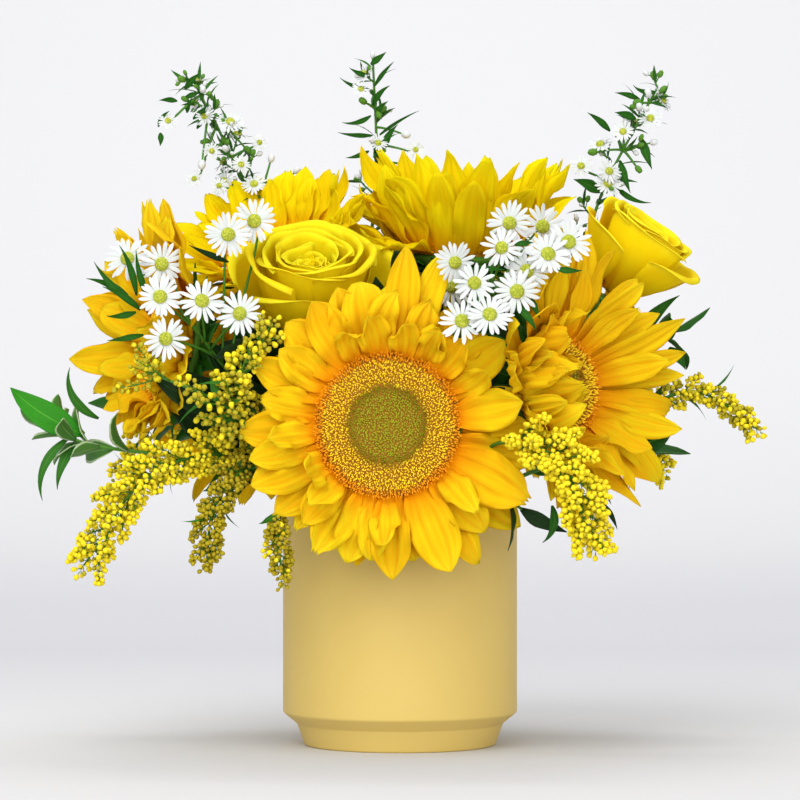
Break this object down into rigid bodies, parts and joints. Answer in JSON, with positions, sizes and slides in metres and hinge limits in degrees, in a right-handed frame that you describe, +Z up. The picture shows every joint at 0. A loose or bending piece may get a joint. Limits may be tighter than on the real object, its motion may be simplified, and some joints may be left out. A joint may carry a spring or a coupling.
{
  "type": "sunflower arrangement in a pot",
  "caption": "Low arrangement of cut sunflowers, roses, asters, goldenrod and leaves, held by floral foam in a round tapering stoneware pot that stands on its flat underside.",
  "frame": {"origin": "centre of the pot's flat underside, on the surface that the pot stands on", "axes": "+Z up along the pot's axis; +X to the right and +Y away for someone who faces the largest sunflower, which looks towards -Y"},
  "size_m": [0.3742, 0.2738, 0.3518],
  "materials": {
    "stoneware": "matte",
    "florist_foam": "matte",
    "green_stem": "satin",
    "flower_disc": "matte",
    "sunflower_petal": "satin",
    "rose_petal": "satin",
    "aster_daisy": "satin",
    "aster_sprig": "satin",
    "goldenrod": "matte",
    "green_leaf": "satin"
  },
  "bodies": {
    "root": {"aster_back_left": "aster_sprig", "aster_back_right": "aster_sprig", "aster_front_left": "aster_daisy", "aster_front_right": "aster_daisy", "aster_top_left": "aster_sprig", "aster_top_middle": "aster_sprig", "aster_top_right": "aster_sprig", "foam": "florist_foam", "goldenrod_back_left": "goldenrod", "goldenrod_back_middle": "goldenrod", "goldenrod_back_right": "goldenrod", "goldenrod_beside_front": "goldenrod", "goldenrod_front_left": "goldenrod", "goldenrod_left_hanging": "goldenrod", "goldenrod_left_plume": "goldenrod", "goldenrod_pot_side": "goldenrod", "goldenrod_right_arch": "goldenrod", "goldenrod_right_plume": "goldenrod", "greenery_back_high": "green_leaf", "greenery_back_low": "green_leaf", "greenery_left_back": "green_leaf", "greenery_left_branch": "green_leaf", "greenery_left_inner": "green_leaf", "greenery_low_front": "green_leaf", "greenery_middle_inner": "green_leaf", "greenery_right_branch": "green_leaf", "greenery_right_inner": "green_leaf", "greenery_right_low": "green_leaf", "greenery_top_inner": "green_leaf", "pot": "stoneware", "rose_back_bloom": "rose_petal", "rose_back_stem": "green_stem", "rose_front_bloom": "rose_petal", "rose_front_stem": "green_stem", "rose_right_bloom": "rose_petal", "rose_right_stem": "green_stem", "sunflower_back_left_disc": "flower_disc", "sunflower_back_left_petals": "sunflower_petal", "sunflower_back_left_stem": "green_stem", "sunflower_back_right_disc": "flower_disc", "sunflower_back_right_petals": "sunflower_petal", "sunflower_back_right_stem": "green_stem", "sunflower_crown_disc": "flower_disc", "sunflower_crown_petals": "sunflower_petal", "sunflower_crown_stem": "green_stem", "sunflower_front_disc": "flower_disc", "sunflower_front_petals": "sunflower_petal", "sunflower_front_stem": "green_stem", "sunflower_left_disc": "flower_disc", "sunflower_left_petals": "sunflower_petal", "sunflower_left_stem": "green_stem", "sunflower_right_disc": "flower_disc", "sunflower_right_petals": "sunflower_petal", "sunflower_right_stem": "green_stem", "sunflower_upper_left_disc": "flower_disc", "sunflower_upper_left_petals": "sunflower_petal", "sunflower_upper_left_stem": "green_stem"}
  },
  "joints": []
}
